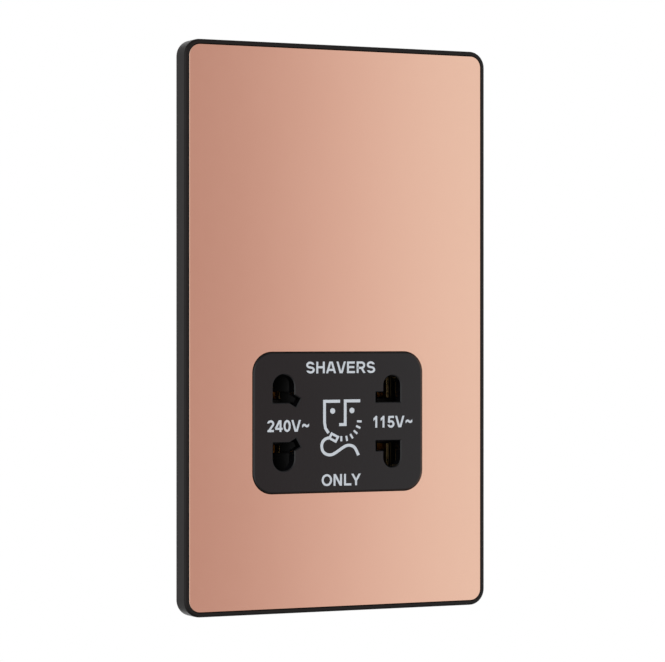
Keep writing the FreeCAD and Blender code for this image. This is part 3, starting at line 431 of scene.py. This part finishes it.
def line(points, width, place=ON_FACE, height=INK_THICKNESS, trimmed=False):
    """The mesh of a flat line of that width and height through points."""
    points = [Vector(point) for point in points]
    closed = (points[0] - points[-1]).length < SAME_PLACE
    if closed:
        points.pop()
    rings = [[place @ Vector((edge.x * MM, edge.y * MM, rise))
              for edge, rise in ((left, 0.0), (left, height), (right, height), (right, 0.0))]
             for left, right in line_edges(points, width, closed, trimmed)]
    return ring_mesh("line", rings, looped=closed)


def layer_height(layer):
    """The height of one of the lines that cross."""
    return INK_THICKNESS * (1.0 - LAYER_STEP * layer)


def arch(begin, corner, end, steps=ARCH_STEPS):
    """Points along the smooth curve between two points that the corner steers, without the first."""
    return [begin * (1 - t) ** 2 + corner * (2 * t * (1 - t)) + end * t ** 2
            for t in (i / steps for i in range(1, steps + 1))]


def bend(across, up, wide, tall, start, end, steps=BEND_STEPS):
    """Points along part of an oval, from one angle to another in degrees."""
    turns = [math.radians(start + (end - start) * i / steps) for i in range(steps + 1)]
    return [(across + wide * math.cos(turn), up + tall * math.sin(turn)) for turn in turns]


def wave(left, right, middle, height, steps=BEND_STEPS):
    """Points along a swung dash."""
    turns = [math.radians(SWUNG_START + SWUNG_TURN * i / steps) for i in range(steps + 1)]
    return [(left + (right - left) * i / steps, middle + height * math.sin(turn))
            for i, turn in enumerate(turns)]


# Plain bold letters by the middle lines of their strokes, in cap heights: the advance, then the strokes
CAP_HEIGHT = 3.0
LETTER_WEIGHT = 0.182
GLYPHS = {
    "S": (0.93, [bend(0.45, 0.71, 0.285, 0.205, 12, 238) + bend(0.485, 0.295, 0.3, 0.21, 58, -164)]),
    "H": (1.0, [[(0.19, 0), (0.19, 1)], [(0.81, 0), (0.81, 1)], [(0.19, 0.52), (0.81, 0.52)]]),
    "A": (1.0, [[(0.12, 0), (0.44, 1)], [(0.88, 0), (0.56, 1)], [(0.22, 0.29), (0.78, 0.29)]]),
    "V": (0.93, [[(0.11, 1), (0.42, 0)], [(0.82, 1), (0.51, 0)]]),
    "E": (0.93, [[(0.84, 0.91), (0.19, 0.91), (0.19, 0.09), (0.86, 0.09)], [(0.19, 0.52), (0.8, 0.52)]]),
    "R": (1.0, [[(0.19, 0), (0.19, 0.91), (0.54, 0.91), *bend(0.58, 0.68, 0.24, 0.23, 90, -90),
                 (0.19, 0.45)], [(0.56, 0.45), (0.84, 0)]]),
    "O": (1.08, [bend(0.54, 0.5, 0.4, 0.42, 0, 360, ROUND_STEPS)]),
    "N": (1.0, [[(0.19, 0), (0.19, 1)], [(0.81, 0), (0.81, 1)], [(0.21, 1), (0.79, 0)]]),
    "L": (0.85, [[(0.19, 1), (0.19, 0.09), (0.8, 0.09)]]),
    "Y": (0.93, [[(0.11, 1), (0.465, 0.4)], [(0.82, 1), (0.465, 0.4)], [(0.465, 0), (0.465, 0.45)]]),
    "2": (0.77, [bend(0.385, 0.7, 0.24, 0.215, 168, -28) + [(0.17, 0.04)], [(0.09, 0.09), (0.68, 0.09)]]),
    "4": (0.77, [[(0.53, 0), (0.53, 1)], [(0.05, 0.27), (0.73, 0.27)], [(0.47, 1), (0.1, 0.3)]]),
    "0": (0.77, [bend(0.385, 0.5, 0.245, 0.42, 0, 360, ROUND_STEPS)]),
    "1": (0.77, [[(0.42, 0), (0.42, 1)], [(0.44, 0.93), (0.15, 0.7)]]),
    "5": (0.77, [[(0.66, 0.91), (0.21, 0.91), (0.16, 0.42)], bend(0.375, 0.3, 0.25, 0.235, 138, -165)]),
    "~": (0.81, [wave(0.1, 0.76, 0.51, 0.065)]),
}

# How much nearer some pairs stand, in cap heights
KERNS = {"11": -0.07, "LY": -0.06}

# Each word with its left edge and its base line
LEGENDS = {
    "legend_shavers": ("SHAVERS", -9.58, -11.6),
    "legend_only": ("ONLY", -5.1, -40.6),
    "legend_240": ("240V~", -20.55, -26.5),
    "legend_115": ("115V~", 9.5, -25.8),
}


def print_word(piece_name, word, across, up):
    """A word in bold capitals on the face, from its left edge and its base line."""
    weight = LETTER_WEIGHT * CAP_HEIGHT
    strokes = []
    for i, letter in enumerate(word):
        advance, lines = GLYPHS[letter]
        for layer, points in enumerate(lines):
            points = [(across + x * CAP_HEIGHT, up + y * CAP_HEIGHT) for x, y in points]
            strokes.append(line(points, weight, height=layer_height(layer), trimmed=True))
        across += (advance + KERNS.get(word[i:i + 2], 0.0)) * CAP_HEIGHT
    finished(piece_name, joined(piece_name, strokes), "legend_ink")


for piece_name, (word, across, up) in LEGENDS.items():
    print_word(piece_name, word, across, up)


# The pictogram, in millimetres from the plate's middle as well; a dash has a place and a turn in degrees
STROKE_WIDTH, HEAD_STROKE = 0.78, 0.62
LEFT_CHEEK = ((0.3, -18.82), (-4.15, -18.82), (-4.15, -24.3), (-3.9, -25.7), (-3.0, -27.0))
NOSE = ((6.1, -18.78), (1.78, -18.78), (1.78, -24.85), (0.05, -24.85))
SHAVER_HEAD = ((-2.1, -27.15), (-0.3, -28.05), (-0.95, -29.2), (-2.75, -28.3), (-2.1, -27.15))
CORD = ((-2.7, -28.2), (-3.9, -28.3), (-5.1, -29.7), (-4.7, -32.0), (-2.4, -32.9),
        (0.0, -31.5), (2.2, -30.1), (4.2, -30.4), (5.1, -31.7), (5.6, -32.85))
DASH_LENGTH, DASH_WIDTH = 1.35, 0.55
CHEEK_DASHES = ((5.85, -24.1, -3), (5.55, -25.55, -25), (4.75, -26.85, -40), (3.6, -27.9, -58),
                (2.2, -28.45, -80), (0.65, -28.5, 90))
EYES = ((-1.83, -21.32), (3.72, -21.25))
EYE_RADIUS = 0.72
EYE_SIDES = 24


def smooth_line(points):
    """Points along the smooth curve that the given points steer."""
    corners = [Vector(point) for point in points]
    joints = [corners[0], *((a + b) / 2 for a, b in zip(corners[1:-2], corners[2:-1])), corners[-1]]
    curve = [joints[0]]
    for begin, corner, end in zip(joints, corners[1:-1], joints[1:]):
        curve += arch(begin, corner, end)
    return curve


def eye(across, up):
    """The mesh of a round printed spot."""
    shape = bmesh.new()
    bmesh.ops.create_cone(shape, cap_ends=True, segments=EYE_SIDES, radius1=EYE_RADIUS * MM,
                          radius2=EYE_RADIUS * MM, depth=INK_THICKNESS)
    place = ON_FACE @ Matrix.Translation((across * MM, up * MM, INK_THICKNESS / 2))
    bmesh.ops.transform(shape, matrix=place, verts=shape.verts)
    return to_mesh("eye", shape)


def dash(across, up, turn):
    """The mesh of one dash of the shaved cheek."""
    turn = math.radians(turn)
    reach = Vector((math.cos(turn), math.sin(turn))) * (DASH_LENGTH / 2)
    middle = Vector((across, up))
    return line([middle - reach, middle + reach], DASH_WIDTH)


def print_pictogram():
    """The usual sign for shavers: a face in a few lines, with a shaver at its chin."""
    strokes = ((LEFT_CHEEK, STROKE_WIDTH), (NOSE, STROKE_WIDTH), (smooth_line(CORD), STROKE_WIDTH),
               (SHAVER_HEAD, HEAD_STROKE))
    lines = [line(points, width, height=layer_height(layer))
             for layer, (points, width) in enumerate(strokes)]
    eyes = [eye(*place) for place in EYES]
    dashes = [dash(*place) for place in CHEEK_DASHES]
    mesh = joined("pictogram", [*lines, *eyes, *dashes])
    finished("shaver_pictogram", mesh, "legend_ink")


print_pictogram()


# Screws with threads and drives take the places of the plain ones; depths run from the head to the tip
SCREW_SIDES = 20
SCREW_CREASE = 50
ROWS_PER_TURN = 4

# A thread's depth in pitches
THREAD_DEPTH = 0.5

# A head's outline by shares of its height and of its radius
DOME = ((0.0, 0.5), (0.06, 0.72), (0.22, 0.88), (0.5, 0.98), (0.75, 1.0), (1.0, 1.0))

# The drives' outlines by shares of their reach; a cutter starts above the head, flared, and narrows
CROSS = ((1, 0.2), (0.2, 0.2), (0.2, 1), (-0.2, 1), (-0.2, 0.2), (-1, 0.2),
         (-1, -0.2), (-0.2, -0.2), (-0.2, -1), (0.2, -1), (0.2, -0.2), (1, -0.2))
SLOT = ((1.1, 0.16), (-1.1, 0.16), (-1.1, -0.16), (1.1, -0.16))
CUTTER_START, CUTTER_FLARE, CUTTER_TAPER = -0.3, 1.1, 0.7

# In millimetres: a drive has an outline, a reach and a depth; a head and a neck have a radius and a length
FIXING_SCREW = {"length": 27.0, "radius": 1.75, "pitch": 0.6, "drive": (CROSS, 1.9, 1.3),
                "head": (3.3, 2.0), "neck": (1.5, 1.6)}
HOUSING_SCREW = {"length": 10.45, "radius": 1.45, "pitch": 0.5, "drive": (CROSS, 1.6, 1.05),
                 "head": (2.7, 1.6)}
BLOCK_SCREW = {**HOUSING_SCREW, "length": 14.9}
TERMINAL_SCREW = {"length": 4.4, "radius": 1.45, "pitch": 0.5, "drive": (SLOT, 1.45, 0.8)}

# Where heads are, as in the CAD: across and up, and how far a terminal's screw stands out behind it
FIXING_PLACES = ((0.0, 60.3 * MM), (0.0, -60.3 * MM))
HOUSING_PLACES = ((22.0 * MM, 49.9 * MM), (-22.0 * MM, -52.1 * MM))
TERMINALS = ("terminal_live", "terminal_neutral", "terminal_earth")
TERMINAL_RISE = 2.4 * MM

# The way along Y from a screw's head to its tip
INWARDS, OUTWARDS = 1, -1


def threaded(start, end, radius, pitch):
    """Rows of a winding thread, each a depth with the radius at every side; the last turn fades out."""
    count = round((end - start) / pitch * ROWS_PER_TURN)
    rows = []
    for depth in (start + (end - start) * i / count for i in range(count + 1)):
        fade = min(1.0, (end - depth) / pitch)
        ridges = [1.0 - abs(2.0 * ((depth / pitch - side / SCREW_SIDES) % 1.0) - 1.0)
                  for side in range(SCREW_SIDES)]
        rows.append((depth, [radius - THREAD_DEPTH * pitch * (1.0 - ridge * fade) for ridge in ridges]))
    return rows


def carved(mesh, cutter):
    """The mesh less the shape of the cutter. Both are used up."""
    body, tool = (bpy.data.objects.new("carving", each) for each in (mesh, cutter))
    for each in (body, tool):
        scene.collection.objects.link(each)
    cut = body.modifiers.new("drive", "BOOLEAN")
    cut.operation, cut.solver, cut.object = "DIFFERENCE", "EXACT", tool
    result = bpy.data.meshes.new_from_object(body.evaluated_get(bpy.context.evaluated_depsgraph_get()))
    for each, used in ((body, mesh), (tool, cutter)):
        bpy.data.objects.remove(each)
        bpy.data.meshes.remove(used)
    return result


def screw(place, way, length, radius, pitch, drive, head=None, neck=None):
    """The mesh of one screw from the top of its head, or of its thread if it has no head."""
    rows, start = [], 0.0
    if head:
        rows += [(depth * head[1], [share * head[0]] * SCREW_SIDES) for depth, share in DOME]
        start = head[1]
    if neck:
        rows += [(depth, [neck[0]] * SCREW_SIDES) for depth in (start, start + neck[1])]
        start += neck[1]
    rows += threaded(start, length, radius, pitch)
    turn = Matrix.Translation(place) @ Matrix.Rotation(-way * math.pi / 2, 4, "X")
    turns = [2 * math.pi * side / SCREW_SIDES for side in range(SCREW_SIDES)]
    rings = [[turn @ Vector((r * MM * math.cos(a), r * MM * math.sin(a), depth * MM))
              for r, a in zip(radii, turns)] for depth, radii in rows]
    outline, reach, floor = drive
    cutter = [[turn @ Vector((x * reach * share * MM, y * reach * share * MM, depth * MM))
               for x, y in outline]
              for depth, share in ((CUTTER_START, CUTTER_FLARE), (floor, CUTTER_TAPER))]
    return carved(ring_mesh("screw", rings, SCREW_CREASE), ring_mesh("cutter", cutter))


def thread_screws(node, sizes, way, places):
    """Puts screws with threads in the places of a node's plain ones."""
    screws = [screw(place, way, **sizes) for place in places]
    piece = finished(f"{node}_threaded", joined(node, screws), "zinc_screw")
    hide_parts(node)


def behind(node, rise=0.0):
    """The place behind a node's middle, at its back or that far out of it."""
    low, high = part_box(node)
    return Vector(((low.x + high.x) / 2, high.y + rise, (low.z + high.z) / 2))


FIXING_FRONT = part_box("fixing_screws")[0].y
HOUSING_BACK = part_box("housing_screws")[1].y
thread_screws("fixing_screws", FIXING_SCREW, INWARDS, [(x, FIXING_FRONT, z) for x, z in FIXING_PLACES])
thread_screws("housing_screws", HOUSING_SCREW, OUTWARDS, [(x, HOUSING_BACK, z) for x, z in HOUSING_PLACES])
thread_screws("block_screw", BLOCK_SCREW, OUTWARDS, [behind("block_screw")])
thread_screws("terminal_screws", TERMINAL_SCREW, OUTWARDS,
              [behind(node, TERMINAL_RISE) for node in TERMINALS])


# The slider's springs, in millimetres: folded strips with a foot at each end
SPRING_STRIP = 0.35
SPRING_REACH = 3.2
SPRING_FOLDS = 6
FOOT_HEIGHT = 2.6

# How far the feet stand inside the ends of the CAD node
SPRING_INSET = 0.2

# The share of each straight that a fold's bend takes up, and the bend's steps
BEND_SHARE = 0.16
FOLD_STEPS = 6


def folded(points):
    """The points with each corner between them turned into a smooth bend."""
    path = [points[0]]
    for before, corner, after in zip(points, points[1:], points[2:]):
        begin, end = corner.lerp(before, BEND_SHARE), corner.lerp(after, BEND_SHARE)
        path += [begin, *arch(begin, corner, end, FOLD_STEPS)]
    return [*path, points[-1]]


def slider_spring(node, side):
    """A spring between the slider's web and the block's wall, built as one fixed shape that doesn't give with
    the slider.
    """
    low, high = (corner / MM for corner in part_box(node))
    level = (low.z + high.z) / 2
    web_foot, wall_foot = sorted(abs(end) for end in (low.x, high.x))
    web_foot, wall_foot = web_foot + SPRING_INSET, wall_foot - SPRING_INSET
    run = (wall_foot - web_foot) / SPRING_FOLDS
    folds = [Vector((side * (web_foot + fold * run), level + (SPRING_REACH if fold % 2 else -SPRING_REACH)))
             for fold in range(SPRING_FOLDS + 1)]
    feet = [Vector((end.x, end.y + FOOT_HEIGHT)) for end in (folds[0], folds[-1])]
    place = Matrix.Translation((0.0, high.y * MM, 0.0)) @ Matrix.Rotation(math.pi / 2, 4, "X")
    mesh = line(folded([feet[0], *folds, feet[1]]), SPRING_STRIP, place, (high.y - low.y) * MM)
    piece = finished(f"{node}_folded", mesh, "spring_steel", body=None)
    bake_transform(piece)
    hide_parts(node)


slider_spring("slider_spring_left", -1)
slider_spring("slider_spring_right", 1)


# The studio: white all round, seen as a soft gradient where the polished plate mirrors it
WALL_SIZE = 1.6
WALL_OPENING = (72 * MM, 132 * MM)
FLOOR_DROP = 0.26

# What gloss sees at each bearing, in degrees to the right from straight out of the wall
GLOSS_STOPS = (
    (-180.0, (0.42, 0.42, 0.42)),
    (-130.0, (0.42, 0.42, 0.42)),
    (-90.0, (0.95, 0.95, 0.95)),
    (-74.0, (1.35, 1.35, 1.35)),
    (-52.0, (1.35, 1.35, 1.35)),
    (-36.0, (0.90, 0.90, 0.90)),
    (8.0, (0.74, 0.68, 0.66)),
    (20.0, (0.575, 0.425, 0.415)),
    (23.3, (0.600, 0.445, 0.435)),
    (24.6, (0.695, 0.555, 0.545)),
    (25.9, (0.835, 0.705, 0.705)),
    (27.3, (0.935, 0.865, 0.865)),
    (28.6, (1.0, 0.98, 0.985)),
    (31.0, (1.02, 1.04, 1.05)),
    (120.0, (1.0, 1.0, 1.0)),
)

# It fades between these heights, from level at 0 to upright at 1, to this share
GLOSS_HEIGHTS = (0.2, 0.85)
GLOSS_FAR_UP = 0.3

# What all else sees of the surround
DIFFUSE_LIGHT = (0.62, 0.62, 0.63)


def bearing_and_height(tree):
    """A ray's bearing in radians, and its height from level at 0 to upright at 1, up or down."""
    way = new_node(tree, "ShaderNodeTexCoord").outputs["Generated"]
    parts = new_node(tree, "ShaderNodeSeparateXYZ", {"Vector": way}).outputs
    outward = new_node(tree, "ShaderNodeMath", {0: parts["Y"], 1: -1.0}, operation="MULTIPLY")
    bearing = new_node(tree, "ShaderNodeMath", {0: parts["X"], 1: outward.outputs["Value"]},
                       operation="ARCTAN2")
    height = new_node(tree, "ShaderNodeMath", {0: parts["Z"]}, operation="ABSOLUTE")
    return bearing.outputs["Value"], height.outputs["Value"]


def gloss_surround(tree):
    """The background that gloss sees, graded by bearing and height."""
    bearing, height = bearing_and_height(tree)
    (start, first), *between, (end, last) = GLOSS_STOPS
    spread = new_node(tree, "ShaderNodeMapRange", {
        "Value": bearing, "From Min": math.radians(start), "From Max": math.radians(end)})
    ramp = new_node(tree, "ShaderNodeValToRGB", {"Fac": spread.outputs["Result"]})
    stops = ramp.color_ramp.elements
    for angle, colour in between:
        stops.new((angle - start) / (end - start)).color = (*colour, 1.0)
    stops[0].color = (*first, 1.0)
    stops[len(stops) - 1].color = (*last, 1.0)
    fade = new_node(tree, "ShaderNodeMapRange", {
        "Value": height, "From Min": GLOSS_HEIGHTS[0], "From Max": GLOSS_HEIGHTS[1],
        "To Min": 1.0, "To Max": GLOSS_FAR_UP})
    return new_node(tree, "ShaderNodeBackground", {
        "Color": ramp.outputs["Color"], "Strength": fade.outputs["Result"]})


def light_world():
    """A white surround for the camera, a graded one for gloss, and plain soft light for the rest."""
    world = bpy.data.worlds.new("studio")
    world.use_nodes = True
    scene.world = world
    tree = world.node_tree
    tree.nodes.clear()
    ray = new_node(tree, "ShaderNodeLightPath").outputs
    soft = new_node(tree, "ShaderNodeBackground", {"Color": (*DIFFUSE_LIGHT, 1.0)})
    white = new_node(tree, "ShaderNodeBackground", {"Color": (1.0, 1.0, 1.0, 1.0)})
    lit = new_node(tree, "ShaderNodeMixShader", {
        "Fac": ray["Is Glossy Ray"], 1: soft.outputs["Background"],
        2: gloss_surround(tree).outputs["Background"]})
    clear = new_node(tree, "ShaderNodeMath", {0: ray["Is Camera Ray"], 1: ray["Is Transmission Ray"]},
                     operation="MAXIMUM")
    seen = new_node(tree, "ShaderNodeMixShader", {
        "Fac": clear.outputs["Value"], 1: lit.outputs["Shader"], 2: white.outputs["Background"]})
    new_node(tree, "ShaderNodeOutputWorld", {"Surface": seen.outputs["Shader"]})


def one_sided_white():
    """White wall paint for the camera on the room's side, and nothing at all from behind."""
    material = bpy.data.materials.new("studio_white")
    material.use_nodes = True
    tree = material.node_tree
    tree.nodes.clear()
    side = new_node(tree, "ShaderNodeNewGeometry")
    clear = new_node(tree, "ShaderNodeBsdfTransparent")
    white = new_node(tree, "ShaderNodeEmission")
    choice = new_node(tree, "ShaderNodeMixShader", {
        "Fac": side.outputs["Backfacing"], 1: white.outputs["Emission"], 2: clear.outputs["BSDF"]})
    new_node(tree, "ShaderNodeOutputMaterial", {"Surface": choice.outputs["Shader"]})
    return material


def studio_sheet(sheet_name, centre, turn, opening=None):
    """A square of backdrop, its painted side turned about X from facing up, with an opening if given."""
    shape = bmesh.new()
    bmesh.ops.create_grid(shape, x_segments=1, y_segments=1, size=WALL_SIZE / 2)
    if opening:
        middle = shape.faces[:]
        bmesh.ops.inset_region(shape, faces=middle, thickness=WALL_SIZE / 4, use_boundary=True,
                               use_even_offset=True)
        bmesh.ops.scale(shape, vec=(opening[0] / (WALL_SIZE / 2), opening[1] / (WALL_SIZE / 2), 1.0),
                        verts=middle[0].verts)
        bmesh.ops.delete(shape, geom=middle, context="FACES_ONLY")
    bmesh.ops.transform(shape, matrix=Matrix.Translation(centre) @ Matrix.Rotation(turn, 4, "X"),
                        verts=shape.verts)
    mesh = bpy.data.meshes.new(sheet_name)
    shape.to_mesh(mesh)
    shape.free()
    mesh.materials.append(one_sided_white())
    sheet = bpy.data.objects.new(sheet_name, mesh)
    scene.collection.objects.link(sheet)
    sheet.visible_shadow = False
    sheet.visible_diffuse = False
    sheet.visible_glossy = False


def soft_lamp(lamp_name, bearing, height, distance, size, power):
    """A square lamp that looks at the plate, by its bearing and height in degrees; gloss can't see it."""
    lamp = bpy.data.lights.new(lamp_name, "AREA")
    lamp.size = size
    lamp.energy = power
    holder = bpy.data.objects.new(lamp_name, lamp)
    scene.collection.objects.link(holder)
    holder.visible_glossy = False
    turn, lift = math.radians(bearing), math.radians(height)
    holder.location = Vector((math.sin(turn) * math.cos(lift), -math.cos(turn) * math.cos(lift),
                              math.sin(lift))) * distance
    holder.rotation_euler = (-holder.location).to_track_quat("-Z", "Y").to_euler()


light_world()
studio_sheet("studio_wall", (0.0, 0.0, 0.0), math.pi / 2, WALL_OPENING)
studio_sheet("studio_floor", (0.0, -WALL_SIZE / 2, -FLOOR_DROP), 0.0)
soft_lamp("key_lamp", bearing=-48.0, height=42.0, distance=1.2, size=0.7, power=9.0)
soft_lamp("fill_lamp", bearing=62.0, height=18.0, distance=1.3, size=0.8, power=4.0)
soft_lamp("rear_lamp", bearing=205.0, height=35.0, distance=1.2, size=0.7, power=8.0)

scene.view_settings.view_transform = "Standard"
